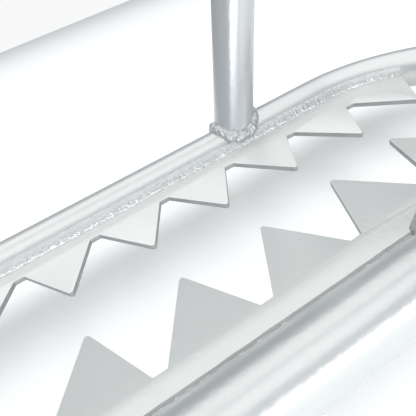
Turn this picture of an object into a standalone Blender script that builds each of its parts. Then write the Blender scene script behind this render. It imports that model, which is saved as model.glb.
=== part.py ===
"""Folding loading ramp for one wheel track.

Two hoop-ended tube frames carry saw-tooth tread plates and raked side guards.
They meet at a clevis hinge below the tubes and fold underside to underside.
X runs up the ramp, Y to its left side, Z up. Everything is laid out from the
hinge line, and then moved so that the origin is the middle of the footprint,
on the ground under the feet and hinge knuckles. All lengths are in metres.
"""
import math

import bmesh
import bpy
from mathutils import Vector

# Frame tube
TUBE_RADIUS = 0.019
TUBE_WALL = 0.002
TUBE_SIDES = 12
AXIS_HEIGHT = 0.045          # tube axis above the ground
HALF_TRACK = 0.117           # tube axis to the ramp's centre line, also the hoop's radius
TUBE_START = 0.0036          # where each frame tube begins, measured from the hinge line
GAP = 0.0003                 # clearance between touching pieces

# Saw-tooth plates
PITCH = 0.065
TOOTH_ZERO_X = 0.5785        # from the hinge line, root line pitches count from here
FIRST_TOOTH = -8
LAST_FULL_TOOTH = 4
TOOTH_DEPTH = 0.0534
TOOTH_SKEW = 0.05            # tip offset towards the hoop, in pitches
ROOT_FLAT = 0.0083
TIP_FLAT = 0.0026
ROOT_LINE = 0.0774           # notch floors to the centre line
BOW_START = 0.79             # in pitches, where the root line starts to close in
BOW_RATE = 0.0164            # in pitches per pitch squared
PLATE_THICKNESS = 0.004
PLATE_RISE = 0.0004          # plate mid-plane above the tube axis
TOOTH_STAGGER = 0.002        # the upper right plate's teeth sit this far further up the ramp
END_TOOTH = (4.97, 0.225)    # tip of the clipped last tooth, in pitches
END_ANGLE = math.radians(45.7)

HOOP_X = 0.872               # centre of the hoop end
HOOP_FOOT_Y = 0.025          # the upper feet sit under the front of the hoop
HOOP_STEPS = 24
PLATE_END_X = TOOTH_ZERO_X + (FIRST_TOOTH - 0.5) * PITCH - ROOT_FLAT / 2

# Side guards
RAKE = math.radians(18)      # guards lean up the ramp and stand plumb at this slope
GUARD_RISE = 0.25            # rail axis above the tube axis
GUARD_BEND = 0.06
GUARD_OUTER = TOOTH_ZERO_X + 2.96 * PITCH
GUARD_INNER = TOOTH_ZERO_X - 6.04 * PITCH

# Cross bars and feet
BAR_RADIUS = 0.008
BAR_DROP = 0.0105
BAR_PLACES = (("hinge", 0.075), ("mid", 0.38))
FOOT_TOP = AXIS_HEIGHT - 0.012
FOOT_SIZES = {"upper": (0.036, 0.042), "lower": (0.05, 0.036)}
FOOT_SPOTS = {"upper": (HOOP_X + math.sqrt(HALF_TRACK ** 2 - HOOP_FOOT_Y ** 2), HOOP_FOOT_Y),
              "lower": (0.86, HALF_TRACK)}

# Fold hinge
KNUCKLE_DROP = 0.033         # hinge axis below the tube axis
KNUCKLE_RADIUS = 0.012
HINGE_Z = AXIS_HEIGHT - KNUCKLE_DROP
BOLT_RADIUS = 0.006
BORE_CLEARANCE = 0.0002
SIDE_PLATE = 0.005
LUG_HALF = 0.006
END_DISC = 0.003

# Lock bolts, modelled drawn out
LOCK_X = 0.035
LOCK_RADIUS = 0.004
BARREL_LENGTH = 0.022
LOCK_TIP = 0.1375
LOCK_TRAVEL = 0.0085

# Top lip
LIP_X = 1.030
LIP_Z = AXIS_HEIGHT - 0.006
LIP_PIN_RADIUS = 0.005
LIP_BARREL_RADIUS = 0.008
LUG_INNER = 0.050
LUG_OUTER = 0.056
LIP_HALF_WIDTH = 0.075
LIP_REACH = (1.046, 1.112)
LIP_PLATE = 0.004
PAD_THICKNESS = 0.006

WELD = 0.000005
LEFT, RIGHT = 1, -1
SIDE_NAMES = {LEFT: "left", RIGHT: "right"}


def new_collection(name):
    collection = bpy.data.collections.new(name)
    bpy.context.scene.collection.children.link(collection)
    return collection


def make_material(name, colour, roughness, metallic):
    material = bpy.data.materials.new(name)
    material.use_nodes = True
    shader = material.node_tree.nodes["Principled BSDF"]
    shader.inputs["Base Color"].default_value = (*colour, 1.0)
    shader.inputs["Roughness"].default_value = roughness
    shader.inputs["Metallic"].default_value = metallic
    material.diffuse_color = (*colour, 1.0)
    return material


def finish_part(obj, colour, pivot):
    """Give a sub-part its own material, smooth its round faces and hang it on its pivot."""
    base = FINISHES[colour]
    obj.data.materials.clear()
    obj.data.materials.append(make_material(obj.name + "_finish", *base))
    obj.data.shade_smooth()
    obj.data.set_sharp_from_angle(angle=math.radians(35))
    obj.parent = pivot
    obj.matrix_parent_inverse = pivot.matrix_world.inverted()
    return obj


def make_cutter(obj):
    """Move a helper solid to the cutters, where it stays out of sight."""
    for collection in list(obj.users_collection):
        collection.objects.unlink(obj)
    cutters.objects.link(obj)
    obj.hide_render = True
    obj.display_type = "WIRE"
    return obj


def combine(obj, other, operation="DIFFERENCE"):
    modifier = obj.modifiers.new(operation.lower(), "BOOLEAN")
    modifier.operation = operation
    modifier.solver = "EXACT"
    modifier.object = other


def curve_to_mesh(curve_object):
    """Turn a curve object into a welded mesh object of the same name and place."""
    name = curve_object.name
    bpy.context.view_layer.update()
    evaluated = curve_object.evaluated_get(bpy.context.evaluated_depsgraph_get())
    mesh = bpy.data.meshes.new_from_object(evaluated)
    bm = bmesh.new()
    bm.from_mesh(mesh)
    bmesh.ops.remove_doubles(bm, verts=bm.verts, dist=WELD)
    bmesh.ops.recalc_face_normals(bm, faces=bm.faces)
    bm.to_mesh(mesh)
    bm.free()
    place = curve_object.matrix_world.copy()
    bpy.data.objects.remove(curve_object)
    obj = bpy.data.objects.new(name, mesh)
    obj.matrix_world = place
    parts.objects.link(obj)
    return obj


def swept_tube(name, path, radius, sides=TUBE_SIDES):
    """A round bar along a list of points, with filled ends."""
    curve = bpy.data.curves.new(name, "CURVE")
    curve.dimensions = "3D"
    curve.bevel_depth = radius
    curve.bevel_resolution = (sides - 4) // 2
    curve.use_fill_caps = True
    spline = curve.splines.new("POLY")
    spline.points.add(len(path) - 1)
    for point, place in zip(spline.points, path):
        point.co = (*place, 1.0)
    obj = bpy.data.objects.new(name, curve)
    parts.objects.link(obj)
    return curve_to_mesh(obj)


def flat_plate(name, outline, thickness, location, upright=False):
    """A plate cut from a flat outline. Upright plates have their outline in X and Z."""
    curve = bpy.data.curves.new(name, "CURVE")
    curve.dimensions = "2D"
    curve.fill_mode = "BOTH"
    curve.extrude = thickness / 2
    spline = curve.splines.new("POLY")
    spline.points.add(len(outline) - 1)
    for point, place in zip(spline.points, outline):
        point.co = (*place, 0.0, 1.0)
    spline.use_cyclic_u = True
    obj = bpy.data.objects.new(name, curve)
    obj.location = location
    obj.rotation_euler = (math.pi / 2 if upright else 0.0, 0.0, 0.0)
    parts.objects.link(obj)
    return curve_to_mesh(obj)


def turned(name, profile, location, side=LEFT, steps=16, closed=False):
    """A turned piece about the Y direction. Its profile is (radius, distance outwards)."""
    mesh = bpy.data.meshes.new(name)
    edges = [(i, i + 1) for i in range(len(profile) - 1)]
    if closed:
        edges.append((len(profile) - 1, 0))
    mesh.from_pydata([(radius, 0.0, height) for radius, height in profile], edges, [])
    obj = bpy.data.objects.new(name, mesh)
    obj.location = location
    obj.rotation_euler = (-side * math.pi / 2, 0.0, 0.0)
    screw = obj.modifiers.new("turn", "SCREW")
    screw.steps = steps
    screw.render_steps = steps
    screw.use_merge_vertices = True
    screw.merge_threshold = WELD
    parts.objects.link(obj)
    return obj


def rod(name, start, end, radius, sides=16):
    """A straight round bar between two points."""
    start, end = Vector(start), Vector(end)
    bm = bmesh.new()
    bmesh.ops.create_cone(bm, cap_ends=True, segments=sides, radius1=radius, radius2=radius,
                          depth=(end - start).length)
    mesh = bpy.data.meshes.new(name)
    bm.to_mesh(mesh)
    bm.free()
    obj = bpy.data.objects.new(name, mesh)
    obj.rotation_mode = "QUATERNION"
    obj.rotation_quaternion = (end - start).to_track_quat("Z", "Y")
    obj.location = (start + end) / 2
    parts.objects.link(obj)
    return obj


def box(name, low, high):
    low, high = Vector(low), Vector(high)
    bm = bmesh.new()
    bmesh.ops.create_cube(bm, size=1.0)
    bmesh.ops.scale(bm, vec=high - low, verts=bm.verts)
    mesh = bpy.data.meshes.new(name)
    bm.to_mesh(mesh)
    bm.free()
    obj = bpy.data.objects.new(name, mesh)
    obj.location = (low + high) / 2
    parts.objects.link(obj)
    return obj


def arc(centre, radius, start, end, steps):
    """Points on an arc, with both ends. Angles count from +X towards the second axis."""
    angles = [start + (end - start) * i / steps for i in range(steps + 1)]
    return [(centre[0] + radius * math.cos(a), centre[1] + radius * math.sin(a)) for a in angles]


def hull_outline(circles, steps=16):
    """The outline of a rubber band around some circles, each (x, z, radius)."""
    points = []
    for x, z, radius in circles:
        points += arc((x, z), radius, 0, 2 * math.pi * (steps - 1) / steps, steps - 1)
    points.sort()

    def half(chain):
        line = []
        for p in chain:
            while len(line) > 1:
                a, b = line[-2], line[-1]
                turn = (b[0] - a[0]) * (p[1] - a[1]) - (b[1] - a[1]) * (p[0] - a[0])
                if turn > 1e-12:
                    break
                line.pop()
            line.append(p)
        return line[:-1]

    return half(points) + half(points[::-1])


def hoop_path(direction, start=TUBE_START):
    """Up the left tube, round the hoop and back down the right tube."""
    flat = [(start, HALF_TRACK)]
    flat += arc((HOOP_X, 0.0), HALF_TRACK, math.pi / 2, -math.pi / 2, HOOP_STEPS)
    flat.append((start, -HALF_TRACK))
    return [(direction * x, y, AXIS_HEIGHT) for x, y in flat]


def foot_spot(section, direction, side):
    x, y = FOOT_SPOTS[section]
    return direction * x, side * y


def side_frame(section, direction, pivot):
    """A hollow hoop frame with its screw and lock holes, and the clearance solid round it."""
    frame = swept_tube(section + "_side_frame", hoop_path(direction), TUBE_RADIUS)
    bore = swept_tube(section + "_frame_bore", hoop_path(direction, TUBE_START - 0.002),
                      TUBE_RADIUS - TUBE_WALL)
    combine(frame, make_cutter(bore))
    for side in (LEFT, RIGHT):
        foot_x, foot_y = foot_spot(section, direction, side)
        drill = rod(f"{section}_screw_drill_{SIDE_NAMES[side]}",
                    (foot_x, foot_y, AXIS_HEIGHT - TUBE_RADIUS - 0.002),
                    (foot_x, foot_y, AXIS_HEIGHT - 0.008), 0.0033, 12)
        combine(frame, make_cutter(drill))
        if section == "upper":
            drill = rod("lock_drill_" + SIDE_NAMES[side], (LOCK_X, side * 0.128, AXIS_HEIGHT),
                        (LOCK_X, side * 0.140, AXIS_HEIGHT), LOCK_RADIUS + BORE_CLEARANCE)
            combine(frame, make_cutter(drill))
    finish_part(frame, "silver", pivot)
    clearance = swept_tube(section + "_frame_clearance", hoop_path(direction, -0.01),
                           TUBE_RADIUS + GAP)
    return make_cutter(clearance)


def root_line(s):
    """Distance of the notch floors from the centre line, and its slope, in pitches."""
    beyond = max(0.0, s - BOW_START)
    return ROOT_LINE / PITCH - BOW_RATE * beyond ** 2, -2 * BOW_RATE * beyond


def tooth_tip(s):
    """A tooth tip: one tooth depth square off the root line."""
    y, slope = root_line(s)
    length = math.hypot(slope, 1.0)
    depth = TOOTH_DEPTH / PITCH
    return s + slope * depth / length, y - depth / length


def tooth_outline(shift):
    """A plate's outline, its straight back first and then its teeth, moved up by the shift."""
    back = HALF_TRACK - TUBE_RADIUS - 0.0005
    points = [(PLATE_END_X, back)]
    points += arc((HOOP_X, 0.0), back, math.pi / 2, math.pi / 2 - END_ANGLE, 7)
    flat_half = TIP_FLAT / 2 / PITCH
    teeth = [(END_TOOTH[0] + flat_half, END_TOOTH[1]), (END_TOOTH[0] - flat_half, END_TOOTH[1])]
    root_half = ROOT_FLAT / 2 / PITCH
    for k in range(LAST_FULL_TOOTH, FIRST_TOOTH - 2, -1):
        for s in (k + 0.5 + root_half, k + 0.5 - root_half):
            teeth.append((s, root_line(s)[0]))
        if k >= FIRST_TOOTH:
            x, y = tooth_tip(k + TOOTH_SKEW)
            teeth += [(x + flat_half, y), (x - flat_half, y)]
    points += [(TOOTH_ZERO_X + s * PITCH + shift, y * PITCH) for s, y in teeth[:-1]]
    points.append((PLATE_END_X, ROOT_LINE))
    return points


def toothed_plate(section, direction, side, pivot):
    shift = TOOTH_STAGGER if side == RIGHT and section == "upper" else 0.0
    outline = [(direction * x, side * y) for x, y in tooth_outline(shift)]
    plate = flat_plate(f"{section}_toothed_plate_{SIDE_NAMES[side]}", outline, PLATE_THICKNESS,
                       (0.0, 0.0, AXIS_HEIGHT + PLATE_RISE))
    finish_part(plate, "silver", pivot)


def guard_path(outer_x, inner_x, side, foot_drop):
    """From the outer foot up its raked leg, along the rail and down the other leg."""
    lean = math.tan(RAKE)
    top = AXIS_HEIGHT + GUARD_RISE
    foot_high, foot_low = max(outer_x, inner_x), min(outer_x, inner_x)
    z_foot, z_bend = AXIS_HEIGHT - foot_drop, top - GUARD_BEND
    # the leg up the ramp turns by 90 degrees plus the rake, the other by 90 less the rake
    setback_high = GUARD_BEND * math.tan((math.pi / 2 + RAKE) / 2)
    setback_low = GUARD_BEND * math.tan((math.pi / 2 - RAKE) / 2)
    x_high = foot_high + GUARD_RISE * lean - setback_high
    x_low = foot_low + GUARD_RISE * lean + setback_low
    flat = [(foot_high - foot_drop * lean, z_foot)]
    flat += arc((x_high, z_bend), GUARD_BEND, -RAKE, math.pi / 2, 7)
    flat += arc((x_low, z_bend), GUARD_BEND, math.pi / 2, math.pi - RAKE, 5)
    flat.append((foot_low - foot_drop * lean, z_foot))
    return [(x, side * HALF_TRACK, z) for x, z in flat]


def side_guard(section, direction, side, pivot):
    """A bent guard tube whose two raked legs are coped on to the frame tube."""
    name = f"{section}_side_guard_{SIDE_NAMES[side]}"
    ends = (direction * GUARD_OUTER, direction * GUARD_INNER)
    guard = swept_tube(name, guard_path(*ends, side, 0.0), TUBE_RADIUS)
    bore = swept_tube(name + "_bore", guard_path(*ends, side, 0.01), TUBE_RADIUS - TUBE_WALL)
    combine(guard, make_cutter(bore))
    for i, x in enumerate(ends):
        cope = rod(f"{name}_cope_{i}", (x - 0.06, side * HALF_TRACK, AXIS_HEIGHT),
                   (x + 0.06, side * HALF_TRACK, AXIS_HEIGHT), TUBE_RADIUS + GAP, 20)
        combine(guard, make_cutter(cope))
    finish_part(guard, "silver", pivot)


def cross_bars(section, direction, clearance, pivot):
    for place, x in BAR_PLACES:
        z = AXIS_HEIGHT - BAR_DROP
        bar = rod(f"{section}_cross_bar_{place}", (direction * x, -HALF_TRACK + 0.006, z),
                  (direction * x, HALF_TRACK - 0.006, z), BAR_RADIUS, 12)
        combine(bar, clearance)
        finish_part(bar, "silver", pivot)


def foot(section, direction, side, clearance, pivot):
    """A rubber saddle foot under the tube, held by a screw from below."""
    label = f"{section}_foot_{SIDE_NAMES[side]}"
    x, y = foot_spot(section, direction, side)
    half_x, half_y = FOOT_SIZES[section][0] / 2, FOOT_SIZES[section][1] / 2
    block = box(label, (x - half_x, y - half_y, 0.0), (x + half_x, y + half_y, FOOT_TOP))
    combine(block, clearance)
    combine(block, make_cutter(rod(label + "_bore", (x, y, -0.001), (x, y, 0.03), 0.0033, 12)))
    combine(block, make_cutter(rod(label + "_recess", (x, y, -0.001), (x, y, 0.008), 0.006, 12)))
    finish_part(block, "rubber", pivot)
    shank_top, head_top, head_bottom = 0.033, 0.0077, 0.003
    profile = [(0, shank_top), (0.003, shank_top), (0.003, head_top), (0.005, head_top),
               (0.005, head_bottom), (0, head_bottom)]
    screw = turned(f"{section}_foot_screw_{SIDE_NAMES[side]}", profile, (x, y, 0.0), steps=12)
    screw.rotation_euler = (0.0, 0.0, 0.0)
    finish_part(screw, "zinc", pivot)


def end_disc(section, direction, side, pivot):
    """The disc that closes a frame tube at the hinge line and butts on its opposite number."""
    disc = rod(f"{section}_end_disc_{SIDE_NAMES[side]}",
               (direction * GAP, side * HALF_TRACK, AXIS_HEIGHT),
               (direction * (GAP + END_DISC), side * HALF_TRACK, AXIS_HEIGHT), TUBE_RADIUS)
    finish_part(disc, "silver", pivot)


def hinge(side, upper, lower, upper_clearance):
    """The clevis hinge of one side: centre lug above, two side plates below, bolt and spacers."""
    label = SIDE_NAMES[side]
    bore = make_cutter(rod("hinge_bore_" + label, (0, side * 0.08, HINGE_Z),
                           (0, side * 0.16, HINGE_Z), BOLT_RADIUS + BORE_CLEARANCE))
    knuckle = (0.0, HINGE_Z, KNUCKLE_RADIUS)

    lug_top = AXIS_HEIGHT - 0.020
    lug = flat_plate("upper_hinge_lug_" + label,
                     hull_outline([knuckle, (0.014, lug_top, 0.006), (0.048, lug_top, 0.006)]),
                     2 * LUG_HALF, (0, side * HALF_TRACK, 0), upright=True)
    combine(lug, upper_clearance)
    combine(lug, bore)
    finish_part(lug, "silver", upper)

    outer_face = HALF_TRACK + TUBE_RADIUS + GAP
    outer = flat_plate("lower_hinge_plate_outer_" + label,
                       hull_outline([knuckle, (-0.058, AXIS_HEIGHT, 0.012),
                                     (LOCK_X, AXIS_HEIGHT, 0.012)]),
                       SIDE_PLATE, (0, side * (outer_face + SIDE_PLATE / 2), 0), upright=True)
    combine(outer, bore)
    lock_bore = rod("lock_bore_" + label, (LOCK_X, side * 0.13, AXIS_HEIGHT),
                    (LOCK_X, side * 0.15, AXIS_HEIGHT), LOCK_RADIUS + BORE_CLEARANCE)
    combine(outer, make_cutter(lock_bore))
    finish_part(outer, "silver", lower)

    inner_face = HALF_TRACK - TUBE_RADIUS - GAP
    arm_z = AXIS_HEIGHT - 0.012
    inner = flat_plate("lower_hinge_plate_inner_" + label,
                       hull_outline([knuckle, (-0.020, arm_z, 0.009), (-0.052, arm_z, 0.009)]),
                       SIDE_PLATE, (0, side * (inner_face - SIDE_PLATE / 2), 0), upright=True)
    combine(inner, bore)
    finish_part(inner, "silver", lower)

    head_face = outer_face + SIDE_PLATE + GAP
    nut_face = inner_face - SIDE_PLATE - GAP
    bolt_profile = [(0, head_face + 0.007), (0.0095, head_face + 0.007), (0.0095, head_face),
                    (BOLT_RADIUS, head_face), (BOLT_RADIUS, nut_face - 0.010),
                    (0, nut_face - 0.010)]
    bolt = turned("hinge_bolt_" + label, bolt_profile, (0, 0, HINGE_Z), side)
    finish_part(bolt, "zinc", lower)

    ring = BOLT_RADIUS + BORE_CLEARANCE
    nut_profile = [(0.010, nut_face), (0.010, nut_face - 0.009), (ring, nut_face - 0.009),
                   (ring, nut_face)]
    nut = turned("hinge_nut_" + label, nut_profile, (0, 0, HINGE_Z), side, closed=True)
    finish_part(nut, "zinc", lower)

    lug_in, lug_out = HALF_TRACK - LUG_HALF, HALF_TRACK + LUG_HALF
    for place, near, far in (("inner", inner_face, lug_in), ("outer", lug_out, outer_face)):
        profile = [(0.009, far - GAP), (0.009, near + GAP), (ring, near + GAP), (ring, far - GAP)]
        spacer = turned(f"hinge_spacer_{place}_{label}", profile, (0, 0, HINGE_Z), side,
                        closed=True)
        finish_part(spacer, "zinc", lower)


def lock(side, lower, bolt_pivot):
    """A sliding bolt on the outer hinge plate that pins the unfolded frames together."""
    label = SIDE_NAMES[side]
    base = HALF_TRACK + TUBE_RADIUS + GAP + SIDE_PLATE + GAP
    hole, cavity = LOCK_RADIUS + BORE_CLEARANCE, 0.0057
    cap = base + BARREL_LENGTH
    profile = [(0.008, cap), (0.008, base), (hole, base), (hole, base + 0.0025),
               (cavity, base + 0.0025), (cavity, cap - 0.0025), (hole, cap - 0.0025), (hole, cap)]
    barrel = turned("lock_barrel_" + label, profile, (LOCK_X, 0, AXIS_HEIGHT), side, closed=True)
    finish_part(barrel, "silver", lower)

    collar = base + 0.0028 + LOCK_TRAVEL
    tail = cap + 0.0005 + LOCK_TRAVEL
    profile = [(0, tail + 0.010), (0.003, tail + 0.010), (0.003, tail), (LOCK_RADIUS, tail),
               (LOCK_RADIUS, collar + 0.002), (0.0053, collar + 0.002), (0.0053, collar),
               (LOCK_RADIUS, collar), (LOCK_RADIUS, LOCK_TIP + 0.0015), (0.0025, LOCK_TIP),
               (0, LOCK_TIP)]
    bolt = turned("lock_bolt_" + label, profile, (LOCK_X, 0, AXIS_HEIGHT), side)
    finish_part(bolt, "zinc", bolt_pivot)

    knob_start = tail + GAP
    bore = 0.0032
    profile = [(0, knob_start + 0.014), (0.007, knob_start + 0.014), (0.010, knob_start + 0.011),
               (0.010, knob_start + 0.004), (0.007, knob_start), (bore, knob_start),
               (bore, knob_start + 0.0103), (0, knob_start + 0.0103)]
    knob = turned("lock_knob_" + label, profile, (LOCK_X, 0, AXIS_HEIGHT), side)
    finish_part(knob, "knob", bolt_pivot)


def lip(upper, pivot, clearance):
    """The hinged lip at the hoop: two welded lugs, a pin, a knuckled plate and its rubber pad."""
    pin_bore = make_cutter(rod("lip_pin_bore", (LIP_X, -0.08, LIP_Z), (LIP_X, 0.08, LIP_Z),
                               LIP_PIN_RADIUS + BORE_CLEARANCE))
    for side in (LEFT, RIGHT):
        outline = hull_outline([(LIP_X, LIP_Z, 0.010), (0.996, AXIS_HEIGHT - 0.002, 0.013)])
        lug = flat_plate("lip_lug_" + SIDE_NAMES[side], outline, LUG_OUTER - LUG_INNER,
                         (0, side * (LUG_INNER + LUG_OUTER) / 2, 0), upright=True)
        combine(lug, clearance)
        combine(lug, pin_bore)
        combine(lug, hoop_inside)
        finish_part(lug, "silver", upper)

    knuckle_half = LUG_INNER - GAP
    plate_low = LIP_Z - LIP_BARREL_RADIUS
    start, end = LIP_REACH
    outline = [(LIP_X, -knuckle_half), (start, -knuckle_half), (start, -LIP_HALF_WIDTH)]
    corner = 0.012
    outline += arc((end - corner, -LIP_HALF_WIDTH + corner), corner, -math.pi / 2, 0, 4)
    outline += arc((end - corner, LIP_HALF_WIDTH - corner), corner, 0, math.pi / 2, 4)
    outline += [(start, LIP_HALF_WIDTH), (start, knuckle_half), (LIP_X, knuckle_half)]
    plate = flat_plate("lip_plate", outline, LIP_PLATE, (0, 0, plate_low + LIP_PLATE / 2))
    barrel = rod("lip_barrel", (LIP_X, -knuckle_half, LIP_Z), (LIP_X, knuckle_half, LIP_Z),
                 LIP_BARREL_RADIUS)
    combine(plate, make_cutter(barrel), "UNION")
    combine(plate, pin_bore)
    finish_part(plate, "silver", pivot)

    pad = box("lip_pad", (start + 0.008, -LIP_HALF_WIDTH + 0.006, plate_low - GAP - PAD_THICKNESS),
              (end - 0.004, LIP_HALF_WIDTH - 0.006, plate_low - GAP))
    bevel = pad.modifiers.new("corners", "BEVEL")
    bevel.width = 0.0015
    bevel.segments = 1
    finish_part(pad, "rubber", pivot)

    profile = [(0, LUG_OUTER + 0.012), (LIP_PIN_RADIUS, LUG_OUTER + 0.012),
               (LIP_PIN_RADIUS, -LUG_OUTER - GAP), (0.008, -LUG_OUTER - GAP),
               (0.008, -LUG_OUTER - 0.005), (0, -LUG_OUTER - 0.005)]
    finish_part(turned("lip_pin", profile, (LIP_X, 0, LIP_Z)), "zinc", upper)
    ring = LIP_PIN_RADIUS + BORE_CLEARANCE
    nut_face = LUG_OUTER + GAP
    profile = [(0.0085, nut_face + 0.007), (0.0085, nut_face), (ring, nut_face),
               (ring, nut_face + 0.007)]
    finish_part(turned("lip_nut", profile, (LIP_X, 0, LIP_Z), closed=True), "zinc", upper)


def make_pivot(name, location):
    pivot = bpy.data.objects.new(name, None)
    pivot.empty_display_size = 0.03
    pivot.location = location
    parts.objects.link(pivot)
    bpy.context.view_layer.update()
    return pivot


FINISHES = {
    "silver": ((0.62, 0.64, 0.63), 0.36, 0.55),
    "zinc": ((0.56, 0.57, 0.58), 0.30, 0.90),
    "rubber": ((0.03, 0.03, 0.032), 0.80, 0.0),
    "knob": ((0.04, 0.04, 0.045), 0.45, 0.0),
}

for old in list(bpy.data.objects):
    bpy.data.objects.remove(old)
parts = new_collection("folding_loading_ramp")
cutters = new_collection("cutters")

upper_pivot = make_pivot("upper_section", (0, 0, AXIS_HEIGHT))
lower_pivot = make_pivot("lower_section", (0, 0, HINGE_Z))
lip_pivot = make_pivot("lip_axis", (LIP_X, 0, LIP_Z))
hoop_inside = make_cutter(rod("hoop_inside", (HOOP_X, 0, 0), (HOOP_X, 0, 0.1), HALF_TRACK, 48))

for section_name, way, section_pivot in (("upper", 1, upper_pivot), ("lower", -1, lower_pivot)):
    envelope = side_frame(section_name, way, section_pivot)
    cross_bars(section_name, way, envelope, section_pivot)
    for hand in (LEFT, RIGHT):
        toothed_plate(section_name, way, hand, section_pivot)
        side_guard(section_name, way, hand, section_pivot)
        foot(section_name, way, hand, envelope, section_pivot)
        end_disc(section_name, way, hand, section_pivot)
    if section_name == "upper":
        lip(upper_pivot, lip_pivot, envelope)
        for hand in (LEFT, RIGHT):
            hinge(hand, upper_pivot, lower_pivot, envelope)

for hand in (LEFT, RIGHT):
    bolt_axis = make_pivot("bolt_axis_" + SIDE_NAMES[hand],
                           (LOCK_X, hand * LOCK_TIP, AXIS_HEIGHT))
    lock(hand, lower_pivot, bolt_axis)
    bolt_axis.parent = lower_pivot
    bolt_axis.matrix_parent_inverse = lower_pivot.matrix_world.inverted()
lip_pivot.parent = upper_pivot
lip_pivot.matrix_parent_inverse = upper_pivot.matrix_world.inverted()

ramp = make_pivot("ramp", (0, 0, 0))
for loose in [o for o in bpy.data.objects if o.parent is None and o is not ramp]:
    loose.parent = ramp
ramp.location.x = (HOOP_X + HALF_TRACK + TUBE_RADIUS - LIP_REACH[1]) / 2
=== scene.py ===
import math

import bpy
from mathutils import Matrix, Vector


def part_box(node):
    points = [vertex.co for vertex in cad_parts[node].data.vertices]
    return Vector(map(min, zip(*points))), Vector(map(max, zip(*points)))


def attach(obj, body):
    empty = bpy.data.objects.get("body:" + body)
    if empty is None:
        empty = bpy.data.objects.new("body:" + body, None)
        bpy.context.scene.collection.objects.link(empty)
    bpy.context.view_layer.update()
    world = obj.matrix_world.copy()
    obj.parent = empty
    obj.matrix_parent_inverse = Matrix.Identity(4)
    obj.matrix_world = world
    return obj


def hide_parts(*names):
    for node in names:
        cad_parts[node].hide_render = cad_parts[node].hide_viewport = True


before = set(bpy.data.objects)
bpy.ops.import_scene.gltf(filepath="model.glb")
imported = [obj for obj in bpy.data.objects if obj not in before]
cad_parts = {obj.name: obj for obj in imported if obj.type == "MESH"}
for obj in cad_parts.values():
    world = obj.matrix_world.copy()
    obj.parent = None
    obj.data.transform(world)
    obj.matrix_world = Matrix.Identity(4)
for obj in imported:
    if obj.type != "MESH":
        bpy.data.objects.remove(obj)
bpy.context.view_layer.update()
sides = {"left": 1, "right": -1}
# metres, apart from the turn up to which faces count as flat
meshCare = {"mergeWithin": 0.00001, "flatWithin": math.radians(1), "cutPast": 0.01, "roundCorners": 64}
print("ramp loaded,", len(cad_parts), "parts")


# working in and out of edit mode

def toObject():
    if bpy.context.mode != "OBJECT":
        bpy.ops.object.mode_set(mode="OBJECT")


def clearSelection():
    toObject()
    bpy.ops.object.select_all(action="DESELECT")


def workOn(piece):
    clearSelection()
    piece.select_set(True)
    bpy.context.view_layer.objects.active = piece
    bpy.ops.object.mode_set(mode="EDIT")


def placeNew():
    # the new primitive is active: fix its place in its mesh and open it, all selected
    bpy.ops.object.transform_apply(location=True, rotation=True, scale=True)
    piece = bpy.context.object
    workOn(piece)
    bpy.ops.mesh.select_mode(type="VERT")
    bpy.ops.mesh.select_all(action="SELECT")
    return piece


def pickEdges(piece, wanted):
    workOn(piece)
    bpy.ops.mesh.select_mode(type="EDGE")
    bpy.ops.mesh.select_all(action="DESELECT")
    toObject()
    points = piece.data.vertices
    for edge in piece.data.edges:
        edge.select = wanted(*[points[i].co for i in edge.vertices])
    bpy.ops.object.mode_set(mode="EDIT")


def pickFaces(piece, wanted):
    workOn(piece)
    bpy.ops.mesh.select_mode(type="FACE")
    bpy.ops.mesh.select_all(action="DESELECT")
    toObject()
    for face in piece.data.polygons:
        face.select = wanted(face.center, face.normal)
    bpy.ops.object.mode_set(mode="EDIT")


def applyModifier(piece, kind, **settings):
    clearSelection()
    piece.select_set(True)
    bpy.context.view_layer.objects.active = piece
    modifier = piece.modifiers.new(kind.lower(), kind)
    for key, value in settings.items():
        setattr(modifier, key, value)
    bpy.ops.object.modifier_apply(modifier=modifier.name)


def roundRims(piece, width, segments=2, angle=50):
    applyModifier(piece, "BEVEL", width=width, segments=segments, limit_method="ANGLE",
                  angle_limit=math.radians(angle), use_clamp_overlap=True)


def cutWith(piece, cutter, operation="DIFFERENCE"):
    applyModifier(piece, "BOOLEAN", operation=operation, solver="EXACT", object=cutter)
    bpy.data.objects.remove(cutter)


def mendMesh(piece):
    workOn(piece)
    bpy.ops.mesh.select_all(action="SELECT")
    bpy.ops.mesh.remove_doubles(threshold=meshCare["mergeWithin"])
    bpy.ops.mesh.normals_make_consistent(inside=False)
    toObject()


def copyPiece(piece, name, placing):
    copied = bpy.data.objects.new(name, piece.data.copy())
    bpy.context.scene.collection.objects.link(copied)
    copied.data.transform(placing)
    if placing.determinant() < 0:
        copied.data.flip_normals()
    return copied


def copyNode(node, name):
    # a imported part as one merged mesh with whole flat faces
    piece = bpy.data.objects.new(name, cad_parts[node].data.copy())
    bpy.context.scene.collection.objects.link(piece)
    workOn(piece)
    bpy.ops.mesh.customdata_custom_splitnormals_clear()
    bpy.ops.mesh.select_all(action="SELECT")
    bpy.ops.mesh.remove_doubles(threshold=meshCare["mergeWithin"])
    bpy.ops.mesh.dissolve_limited(angle_limit=meshCare["flatWithin"])
    toObject()
    return piece


def finishPiece(piece, name, finish, body, replaced=(), smooth=35):
    clearSelection()
    piece.name = name
    piece.data.materials.clear()
    piece.data.materials.append(finish)
    piece.select_set(True)
    bpy.context.view_layer.objects.active = piece
    bpy.ops.object.shade_smooth_by_angle(angle=math.radians(smooth))
    if replaced:
        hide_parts(*replaced)
    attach(piece, body)


# shapes that several pieces share

def startRing(centre, turn, radius, corners):
    clearSelection()
    bpy.ops.mesh.primitive_circle_add(vertices=corners, radius=radius, location=centre, rotation=turn)
    return placeNew()


def runStraight(way, steps=1):
    for _ in range(steps):
        bpy.ops.mesh.extrude_region_move(TRANSFORM_OT_translate={"value": Vector(way) / steps})


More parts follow.
